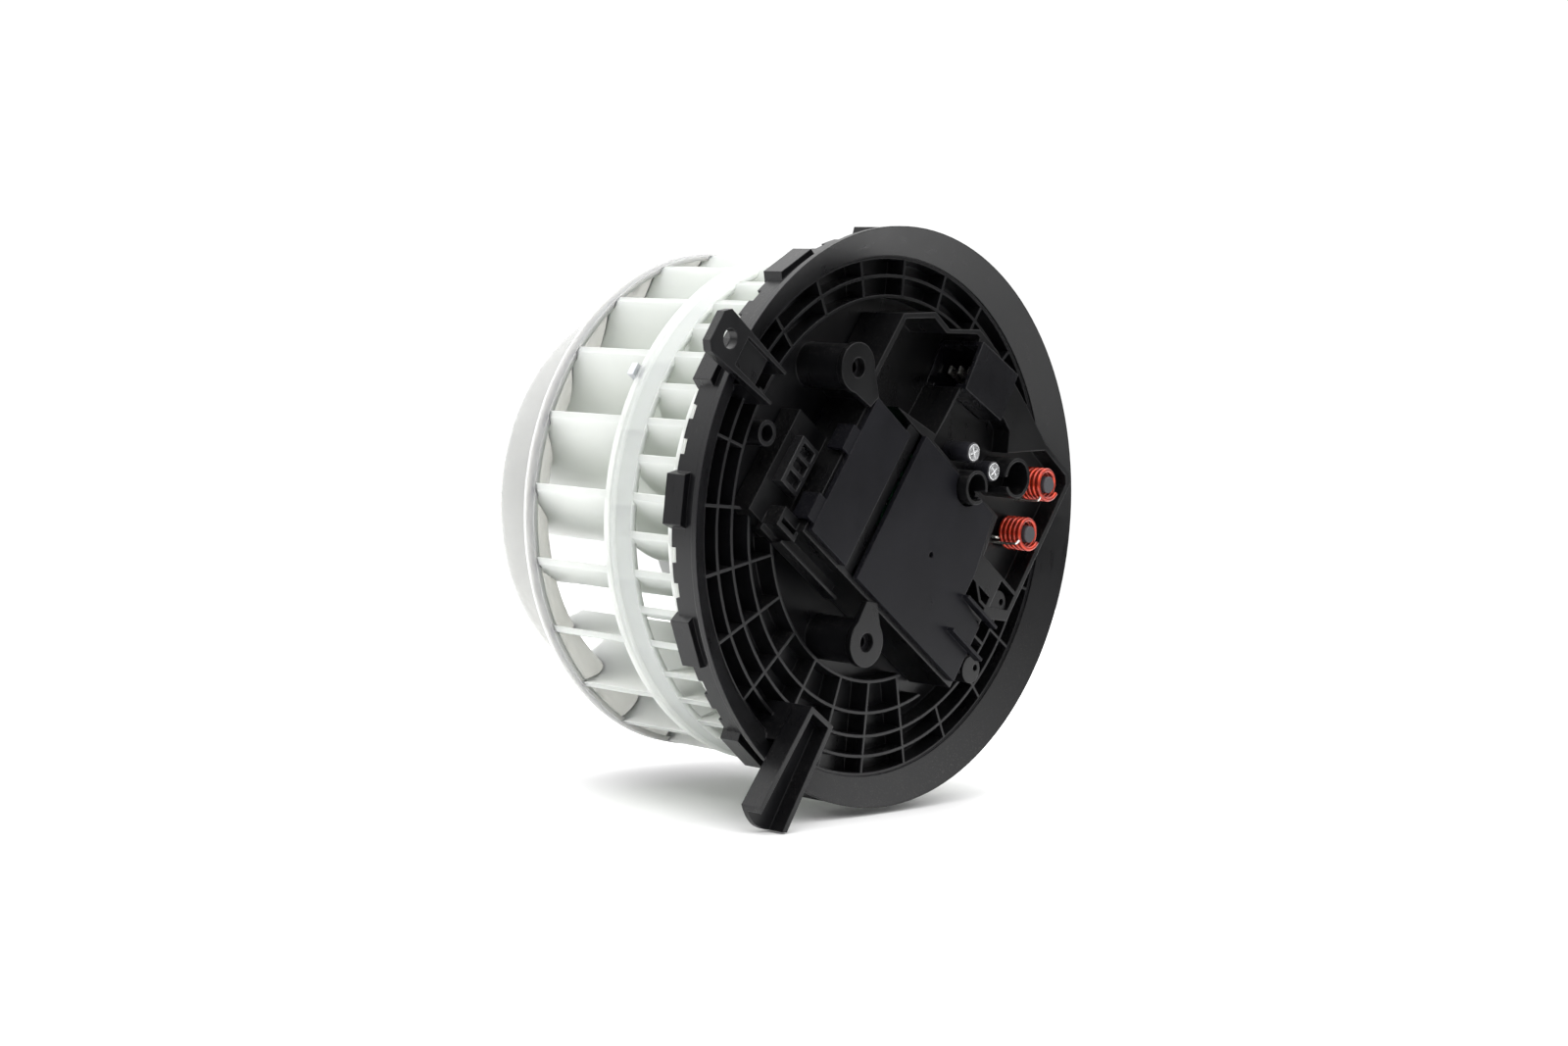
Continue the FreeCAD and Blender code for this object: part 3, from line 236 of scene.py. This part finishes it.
def moulded_plastic(name, colour, deep, edge_highlight_colour, gloss, grain_scale=2600.0, grain_depth=0.00004,
                    edge=0.0005, dust=0.25, **sockets):
    """Moulded plastic: mottled body colour, a painted highlight along the edges, faint rubs and
    settled dust.
    """
    material, tree, shader = new_material(name, **sockets)
    rounding_and_highlight = use_group(tree, edge_rounding_and_highlight, radius=edge)
    grain = use_group(tree, moulded_grain, grain_scale=grain_scale)
    dusting = use_group(tree, settled_dust, amount=dust)
    body = mixed(tree, grain["Mottle"], (*deep, 1.0), (*colour, 1.0))
    # Painted highlight: edges are lightened toward a paler colour
    with_edge_highlight = mixed(tree, maths(tree, "MULTIPLY", rounding_and_highlight["Edge"], 0.55), body, (*edge_highlight_colour, 1.0))
    dusty = mixed(tree, dusting["Dust"], with_edge_highlight, (0.42, 0.40, 0.37, 1.0))
    tree.links.new(dusty, shader.inputs["Base Color"])
    rough = mapped(tree, grain["Mottle"], 0.0, 1.0, gloss - 0.05, gloss + 0.05)
    rubbed = maths(tree, "SUBTRACT", rough, maths(tree, "MULTIPLY", grain["Rub"], 0.09))
    settled = maths(tree, "ADD", rubbed, maths(tree, "MULTIPLY", dusting["Dust"], 0.3))
    tree.links.new(settled, shader.inputs["Roughness"])
    set_bump(tree, shader, grain["Height"], rounding_and_highlight["Normal"], 0.35, grain_depth)
    return material


def drawn_metal(name, colour, tint, rough, edge=0.0002, across=4200.0, along=60.0, **sockets):
    """Bare or plated metal with fine lines, a slight tarnish and a painted highlight along the
    edges.
    """
    material, tree, shader = new_material(name, **sockets)
    rounding_and_highlight = use_group(tree, edge_rounding_and_highlight, radius=edge, breakup=600.0)
    lines = use_group(tree, drawn_lines, across=across, along=along)
    tarnish = mapped(tree, noise(tree, 210.0, 4.0, 0.6), 0.4, 0.7, 0.0, 1.0)
    body = mixed(tree, tarnish, (*colour, 1.0), (*tint, 1.0))
    # Painted highlight: base colour brightened along edges
    metal_edge_highlight = [min(1.0, c * 1.3) for c in colour]
    tree.links.new(mixed(tree, rounding_and_highlight["Edge"], body, (*metal_edge_highlight, 1.0)), shader.inputs["Base Color"])
    streaked = mapped(tree, lines["Streak"], 0.0, 1.0, rough - 0.06, rough + 0.08)
    dull = maths(tree, "ADD", streaked, maths(tree, "MULTIPLY", tarnish, 0.10))
    tree.links.new(dull, shader.inputs["Roughness"])
    tree.links.new(mapped(tree, tarnish, 0.0, 1.0, 1.0, 0.85), shader.inputs["Metallic"])
    set_bump(tree, shader, lines["Height"], rounding_and_highlight["Normal"], 0.2, 0.00002)
    return material


def enamelled_wire(name, colour, deep):
    """Lacquered copper: a red enamel coat over a bright core, thinner in random patches."""
    material, tree, shader = new_material(name, Coat_Weight=0.6, Coat_Roughness=0.12,
                                          Specular_IOR_Level=0.5)
    patch = mapped(tree, noise(tree, 420.0, 3.0, 0.6), 0.35, 0.65, 0.0, 1.0)
    tree.links.new(mixed(tree, patch, (*deep, 1.0), (*colour, 1.0)), shader.inputs["Base Color"])
    tree.links.new(mapped(tree, patch, 0.0, 1.0, 0.55, 0.8), shader.inputs["Metallic"])
    tree.links.new(mapped(tree, patch, 0.0, 1.0, 0.3, 0.42), shader.inputs["Roughness"])
    set_bump(tree, shader, noise(tree, 1800.0, 2.0),
             tree.nodes.new("ShaderNodeNewGeometry").outputs["Normal"], 0.15, 0.00003)
    return material


def sintered(name, colour, deep, rough, grain_scale=3800.0, metal=0.0):
    """Pressed powder: ferrite, carbon or oiled bronze, with pores and a painted highlight on the
    corners.
    """
    material, tree, shader = new_material(name)
    rounding_and_highlight = use_group(tree, edge_rounding_and_highlight, radius=0.0003, breakup=700.0)
    pores = noise(tree, grain_scale, 4.0, 0.7)
    patch = mapped(tree, noise(tree, 160.0, 3.0), 0.35, 0.65, 0.0, 1.0)
    body = mixed(tree, patch, (*deep, 1.0), (*colour, 1.0))
    # Painted highlight: corners lightened toward a paler colour
    powder_edge_highlight = [min(1.0, c * 1.8 + 0.02) for c in colour]
    with_edge_highlight = mixed(tree, maths(tree, "MULTIPLY", rounding_and_highlight["Edge"], 0.6), body, (*powder_edge_highlight, 1.0))
    tree.links.new(with_edge_highlight, shader.inputs["Base Color"])
    tree.links.new(mapped(tree, pores, 0.3, 0.7, rough - 0.1, rough + 0.12),
                   shader.inputs["Roughness"])
    tree.links.new(mapped(tree, patch, 0.0, 1.0, metal * 0.8, metal), shader.inputs["Metallic"])
    set_bump(tree, shader, pores, rounding_and_highlight["Normal"], 0.5, 0.00005)
    return material


def natural_polypropylene(name, colour, deep, scatter):
    """Unpigmented plastic of the wheel: milky, lit from within, with a painted highlight along its
    edges.
    """
    material, tree, shader = new_material(
        name, Subsurface_Weight=1.0, Subsurface_Radius=(1.0, 1.0, 0.92),
        Subsurface_Scale=scatter, Specular_IOR_Level=0.45, IOR=1.49)
    rounding_and_highlight = use_group(tree, edge_rounding_and_highlight, radius=0.0004, breakup=120.0)
    grain = use_group(tree, moulded_grain, grain_scale=1400.0, flow_scale=24.0, flow_weight=0.8)
    dusting = use_group(tree, settled_dust, amount=0.10)
    body = mixed(tree, grain["Mottle"], (*deep, 1.0), (*colour, 1.0))
    # Painted highlight: edges lightened toward a paler green-white
    with_edge_highlight = mixed(tree, maths(tree, "MULTIPLY", rounding_and_highlight["Edge"], 0.2), body, (0.80, 0.84, 0.80, 1.0))
    tree.links.new(mixed(tree, dusting["Dust"], with_edge_highlight, (0.6, 0.6, 0.56, 1.0)),
                   shader.inputs["Base Color"])
    tree.links.new(mapped(tree, grain["Mottle"], 0.0, 1.0, 0.34, 0.46),
                   shader.inputs["Roughness"])
    set_bump(tree, shader, grain["Height"], rounding_and_highlight["Normal"], 0.25, 0.00004)
    return material


def solder_mask_board(name):
    """Circuit board: green lacquer over tracks, with bare tinned pads between them."""
    material, tree, shader = new_material(name, Coat_Weight=0.4, Coat_Roughness=0.15)
    place = object_space(tree)
    tracks = add_node(tree, "ShaderNodeTexBrick", {
        "Vector": place, "Scale": 120.0, "Mortar Size": 0.06, "Mortar Smooth": 0.1},
        offset=0.5)
    weave = noise(tree, 1900.0, 2.0, 0.6, place)
    lacquer = mixed(tree, tracks.outputs["Fac"], (0.012, 0.075, 0.035, 1.0),
                    (0.03, 0.16, 0.07, 1.0))
    pads = add_node(tree, "ShaderNodeTexVoronoi", {"Vector": place, "Scale": 340.0})
    bare = mapped(tree, pads.outputs["Distance"], 0.16, 0.13, 0.0, 1.0)
    tree.links.new(mixed(tree, bare, lacquer, (0.75, 0.74, 0.70, 1.0)),
                   shader.inputs["Base Color"])
    tree.links.new(maths(tree, "MULTIPLY", bare, 0.9), shader.inputs["Metallic"])
    tree.links.new(mapped(tree, weave, 0.3, 0.7, 0.28, 0.42), shader.inputs["Roughness"])
    height = maths(tree, "ADD", tracks.outputs["Fac"], maths(tree, "MULTIPLY", weave, 0.3))
    set_bump(tree, shader, height,
             tree.nodes.new("ShaderNodeNewGeometry").outputs["Normal"], 0.4, 0.00004)
    return material


# The third colour given to each moulded plastic is its painted edge highlight colour
flange_plastic = moulded_plastic("flange_plastic", (0.0046, 0.0046, 0.0056),
                                 (0.0024, 0.0024, 0.0030), (0.022, 0.022, 0.026), 0.34,
                                 Specular_IOR_Level=0.36)
housing_plastic = moulded_plastic("housing_plastic", (0.0036, 0.0036, 0.0042),
                                  (0.0018, 0.0018, 0.0022), (0.020, 0.020, 0.023), 0.32,
                                  grain_scale=3000.0, Specular_IOR_Level=0.34)
cover_plastic = moulded_plastic("cover_plastic", (0.0058, 0.0058, 0.0082),
                                (0.0034, 0.0034, 0.0050), (0.024, 0.024, 0.030), 0.38,
                                grain_scale=3400.0, grain_depth=0.00006,
                                Specular_IOR_Level=0.17)
connector_plastic = moulded_plastic("connector_plastic", (0.0044, 0.0044, 0.0060),
                                    (0.0026, 0.0026, 0.0036), (0.024, 0.024, 0.030), 0.28,
                                    grain_scale=2200.0, Specular_IOR_Level=0.4)
terminal_plastic = moulded_plastic("terminal_plastic", (0.009, 0.009, 0.010),
                                   (0.005, 0.005, 0.006), (0.090, 0.090, 0.092), 0.30)
brush_card_plastic = moulded_plastic("brush_card_plastic", (0.045, 0.032, 0.024),
                                     (0.028, 0.020, 0.015), (0.12, 0.09, 0.07), 0.5)
epoxy_case = moulded_plastic("epoxy_case", (0.016, 0.016, 0.016), (0.010, 0.010, 0.010),
                             (0.06, 0.06, 0.06), 0.55, grain_depth=0.00008)
grommet_rubber = moulded_plastic("grommet_rubber", (0.018, 0.018, 0.018),
                                 (0.011, 0.011, 0.011), (0.03, 0.03, 0.03), 0.72,
                                 grain_scale=1800.0, dust=0.5)
capacitor_sleeve = moulded_plastic("capacitor_sleeve", (0.014, 0.014, 0.018),
                                   (0.009, 0.009, 0.012), (0.05, 0.05, 0.06), 0.30,
                                   edge=0.0002)
wheel_plastic = natural_polypropylene("wheel_plastic", (0.63, 0.675, 0.61),
                                      (0.585, 0.63, 0.57), 0.03)
collar_plastic = natural_polypropylene("collar_plastic", (0.265, 0.265, 0.27),
                                       (0.24, 0.24, 0.245), 0.02)
tinned_terminal = drawn_metal("tinned_terminal", (0.78, 0.77, 0.73), (0.60, 0.58, 0.53), 0.24)
mill_aluminium = drawn_metal("mill_aluminium", (0.72, 0.73, 0.74), (0.55, 0.56, 0.58), 0.34)
capacitor_can = drawn_metal("capacitor_can", (0.86, 0.87, 0.88), (0.74, 0.75, 0.77), 0.24)
zinc_plate = drawn_metal("zinc_plate", (0.62, 0.63, 0.65), (0.44, 0.46, 0.50), 0.36,
                         along=900.0)
ground_steel = drawn_metal("ground_steel", (0.62, 0.62, 0.63), (0.45, 0.45, 0.46), 0.22,
                           across=900.0, along=5200.0)
spring_steel = drawn_metal("spring_steel", (0.46, 0.46, 0.47), (0.30, 0.30, 0.31), 0.3)
lamination_steel = drawn_metal("lamination_steel", (0.30, 0.31, 0.34), (0.16, 0.18, 0.24),
                               0.42, across=120.0, along=9000.0)
commutator_copper = drawn_metal("commutator_copper", (0.78, 0.42, 0.26), (0.42, 0.22, 0.14),
                                0.26, across=900.0, along=5200.0)
holder_brass = drawn_metal("holder_brass", (0.72, 0.56, 0.28), (0.50, 0.36, 0.17), 0.3)
choke_enamel = enamelled_wire("choke_enamel", (0.56, 0.040, 0.010), (0.26, 0.011, 0.003))
winding_enamel = enamelled_wire("winding_enamel", (0.50, 0.17, 0.07), (0.30, 0.085, 0.04))
ferrite_core = sintered("ferrite_core", (0.050, 0.050, 0.056), (0.032, 0.032, 0.037), 0.55)
magnet_ferrite = sintered("magnet_ferrite", (0.075, 0.073, 0.075), (0.05, 0.05, 0.052), 0.6)
brush_carbon = sintered("brush_carbon", (0.040, 0.040, 0.043), (0.022, 0.022, 0.025), 0.5,
                        metal=0.25)
sintered_bronze = sintered("sintered_bronze", (0.50, 0.33, 0.16), (0.34, 0.21, 0.10), 0.42,
                           metal=0.9)
board_lacquer = solder_mask_board("board_lacquer")

FINISHES = {
    flange_plastic: ["mounting_flange"],
    cover_plastic: ["cover_small", "cover_large"],
    terminal_plastic: ["terminal_block"],
    connector_plastic: ["connector_shell"],
    tinned_terminal: ["connector_terminals"],
    board_lacquer: ["circuit_board"],
    mill_aluminium: ["heat_spreader"],
    epoxy_case: ["power_transistor_1", "power_transistor_2", "power_transistor_3"],
    ferrite_core: ["choke_core_1", "choke_core_2"],
    choke_enamel: ["choke_winding_1", "choke_winding_2"],
    zinc_plate: ["motor_can", "carrier_screw_1", "carrier_screw_2", "carrier_screw_3",
                 "balance_clip_1", "balance_clip_2"],
    brush_card_plastic: ["brush_card"],
    housing_plastic: ["regulator_housing", "motor_carrier"],
    grommet_rubber: ["rubber_grommet_1", "rubber_grommet_2", "rubber_grommet_3",
                     "thrust_washer"],
    magnet_ferrite: ["field_magnet_1", "field_magnet_2"],
    ground_steel: ["rotor_shaft"],
    sintered_bronze: ["bearing_near", "bearing_far"],
    lamination_steel: ["armature_core"],
    winding_enamel: ["armature_windings"],
    commutator_copper: ["commutator"],
    brush_carbon: ["carbon_brush_1", "carbon_brush_2"],
    holder_brass: ["brush_holder_1", "brush_holder_2", "hub_insert"],
    spring_steel: ["brush_spring_1", "brush_spring_2", "shaft_clip"],
    wheel_plastic: ["blower_wheel"],
    collar_plastic: ["inlet_collar"],
}


def finish_nodes():
    for material, names in FINISHES.items():
        for name in names:
            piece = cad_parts[name]
            piece.data.materials.clear()
            piece.data.materials.append(material)


# ---------------------------------------------------------------- fitted details

def start_piece(name, add, **values):
    """Add a primitive with nothing else selected, named and ready to be shaped."""
    bpy.ops.object.select_all(action="DESELECT")
    add(**values)
    piece = bpy.context.active_object
    piece.name = piece.data.name = name
    return piece


def settle_piece(piece, body, smooth_angle=35.0):
    """Put the piece's place into its mesh, smooth it and let it ride on its body."""
    bpy.ops.object.select_all(action="DESELECT")
    piece.select_set(True)
    bpy.context.view_layer.objects.active = piece
    bpy.ops.object.transform_apply(location=True, rotation=True, scale=True)
    bpy.ops.object.mode_set(mode="EDIT")
    bpy.ops.mesh.select_all(action="SELECT")
    bpy.ops.mesh.normals_make_consistent(inside=False)
    bpy.ops.object.mode_set(mode="OBJECT")
    bpy.ops.object.shade_smooth_by_angle(angle=math.radians(smooth_angle))
    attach(piece, body)
    return piece


def raise_ring(height, scale):
    """Extrude the selected face along its axis, then widen or narrow it."""
    bpy.ops.mesh.extrude_region_move(TRANSFORM_OT_translate={"value": (0.0, 0.0, height)})
    if scale != 1.0:
        bpy.ops.transform.resize(value=(scale, scale, 1.0))


def stand_on_front(piece, x, y, z):
    """Turn a piece made along Z so that it faces out of the flange, at its place."""
    piece.rotation_euler = (math.radians(90.0), 0.0, 0.0)
    piece.location = (x, y, z)


def build_capacitor(number, turn):
    """Sleeved can with a rolled foot, a shrunk sleeve rim and a scored vent on its top."""
    node = "capacitor_%d" % number
    low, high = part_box(node)
    radius, tall = (high.x - low.x) * 0.5, high.y - low.y
    piece = start_piece("sleeved_" + node, bpy.ops.mesh.primitive_circle_add,
                        vertices=48, radius=radius * 0.97, fill_type="NGON")
    bpy.ops.object.mode_set(mode="EDIT")
    bpy.ops.mesh.select_all(action="SELECT")
    for height, scale in ((0.10, 1.03), (0.05, 0.93), (0.04, 1.0), (0.05, 1.075),
                          (0.68, 1.0), (0.04, 0.97), (0.02, 0.92), (0.0, 0.94),
                          (-0.008, 0.97), (0.012, 0.97)):
        raise_ring(height * tall, scale)
    bpy.ops.object.mode_set(mode="OBJECT")
    top = max(v.co.z for v in piece.data.vertices)
    score = start_piece("vent_score", bpy.ops.mesh.primitive_cube_add, size=1.0,
                        location=(0.0, 0.0, top))
    score.scale = (radius * 1.1, radius * 0.10, radius * 0.12)
    cross = start_piece("vent_cross", bpy.ops.mesh.primitive_cube_add, size=1.0,
                        location=(0.0, 0.0, top))
    cross.scale = (radius * 0.10, radius * 1.1, radius * 0.12)
    for cutter in (score, cross):
        bpy.ops.object.select_all(action="DESELECT")
        cutter.select_set(True)
        bpy.context.view_layer.objects.active = cutter
        bpy.ops.object.transform_apply(location=True, rotation=True, scale=True)
        cut = piece.modifiers.new("vent", "BOOLEAN")
        cut.object, cut.operation, cut.solver = cutter, "DIFFERENCE", "EXACT"
        bpy.context.view_layer.objects.active = piece
        bpy.ops.object.modifier_apply(modifier=cut.name)
        bpy.data.objects.remove(cutter, do_unlink=True)
    piece.data.materials.append(capacitor_sleeve)
    piece.data.materials.append(capacitor_can)
    bare = radius * 0.86
    for face in piece.data.polygons:
        if face.center.z > top - 0.3 * MM and math.hypot(face.center.x, face.center.y) < bare:
            face.material_index = 1
    middle = (low + high) * 0.5
    piece.data.transform(Matrix.Rotation(math.radians(turn), 4, "Z"))
    stand_on_front(piece, middle.x, high.y, middle.z)
    settle_piece(piece, "unit")
    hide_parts(node)


def build_choke_tails(number, turn):
    """Tinned wire ends that leave each winding and hook down to the board."""
    low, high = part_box("choke_winding_%d" % number)
    middle = (low + high) * 0.5
    reach = (high.x - low.x) * 0.5
    wire = 0.42 * MM
    away = Vector((math.cos(math.radians(turn)), 0.0, math.sin(math.radians(turn))))
    side = Vector((-away.z, 0.0, away.x))
    for end, depth, swing in (("front", low.y + 1.2 * MM, 1.0), ("back", high.y - 1.4 * MM, -1.0)):
        start = middle + away * (reach * 0.84)
        start.y = depth
        bend = start + away * 1.5 * MM + side * (0.5 * MM * swing)
        knee = bend + away * 0.5 * MM + Vector((0.0, 1.2 * MM, 0.0)) + side * (0.5 * MM * swing)
        foot = Vector((knee.x, high.y + 0.3 * MM, knee.z))
        line = bpy.data.curves.new("choke_tail_%d_%s" % (number, end), "CURVE")
        line.dimensions = "3D"
        line.bevel_depth, line.bevel_resolution, line.resolution_u = wire, 4, 10
        line.use_fill_caps = True
        spline = line.splines.new("NURBS")
        spline.points.add(3)
        for point, place in zip(spline.points, (start, bend, knee, foot)):
            point.co = (*place, 1.0)
        spline.order_u = 3
        spline.use_endpoint_u = True
        tail = bpy.data.objects.new(line.name, line)
        bpy.context.collection.objects.link(tail)
        tail.data.materials.append(tinned_terminal)
        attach(tail, "unit")


# ---------------------------------------------------------------- studio and camera

def build_floor():
    """A round pale table top under the object."""
    bpy.ops.object.select_all(action="DESELECT")
    floor_z = cad_low.z - FLOOR_DROP
    bpy.ops.mesh.primitive_circle_add(vertices=96, radius=FLOOR_RADIUS, fill_type="NGON",
                                      location=(0.0, 0.05, floor_z))
    floor = bpy.context.active_object
    floor.name = "studio_floor"
    bpy.ops.object.transform_apply(location=True, rotation=False, scale=True)
    material, tree, shader = new_material("floor_card", Specular_IOR_Level=0.2)
    tone = mapped(tree, noise(tree, 3.0, 2.0), 0.3, 0.7, 0.90, 0.92)
    tree.links.new(tone, shader.inputs["Base Color"])
    shader.inputs["Roughness"].default_value = 0.85
    floor.data.materials.append(material)


def add_softbox(name, place, target, wide, tall, power):
    light = bpy.data.lights.new(name, "AREA")
    light.shape = "RECTANGLE"
    light.size, light.size_y = wide, tall
    light.energy = power
    lamp = bpy.data.objects.new(name, light)
    bpy.context.collection.objects.link(lamp)
    lamp.location = place
    aim = Vector(target) - Vector(place)
    lamp.rotation_euler = aim.to_track_quat("-Z", "Y").to_euler()


def light_studio():
    """A pale sky that brightens upward, white to the camera, and two softboxes."""
    world = bpy.data.worlds.new("studio_world")
    bpy.context.scene.world = world
    world.use_nodes = True
    tree = world.node_tree
    backdrop = tree.nodes["Background"]
    backdrop.inputs["Color"].default_value = (1.0, 1.0, 1.0, 1.0)
    direction = tree.nodes.new("ShaderNodeTexCoord").outputs["Generated"]
    height = add_node(tree, "ShaderNodeSeparateXYZ", {"Vector": direction}).outputs["Z"]
    glow = mapped(tree, height, 0.05, 0.9, 0.12, 2.6)
    seen = tree.nodes.new("ShaderNodeLightPath").outputs["Is Camera Ray"]
    strength = maths(tree, "MAXIMUM", glow, maths(tree, "MULTIPLY", seen, BACKDROP_WHITE))
    tree.links.new(strength, backdrop.inputs["Strength"])
    bpy.context.scene.view_settings.view_transform = "Standard"
    middle = (0.0, 0.03, 0.0)
    add_softbox("key_above", (-0.3, 0.2, 1.3), middle, 1.2, 1.2, 9.0)
    add_softbox("side_left", (-1.3, 0.9, 0.3), middle, 1.0, 1.0, 1.6)


def place_camera():
    """Slightly above the axis, off to the flange side, with a small roll."""
    camera = bpy.data.cameras.new("studio_camera")
    camera.lens = CAMERA_LENS
    camera.sensor_width = 36.0
    camera.clip_start = 0.01
    body = bpy.data.objects.new("studio_camera", camera)
    bpy.context.collection.objects.link(body)
    forward = Vector(CAMERA_FORWARD)
    right = Vector(CAMERA_RIGHT)
    up = right.cross(forward).normalized()
    right = forward.cross(up).normalized()
    turn = Matrix((right, up, -forward)).transposed().to_4x4()
    body.matrix_world = Matrix.Translation(CAMERA_PLACE) @ turn
    bpy.context.scene.camera = body


finish_nodes()
for number in (1, 2):
    build_capacitor(number, 20.0 * number)
    build_choke_tails(number, 250.0 - 25.0 * number)
build_floor()
light_studio()
place_camera()
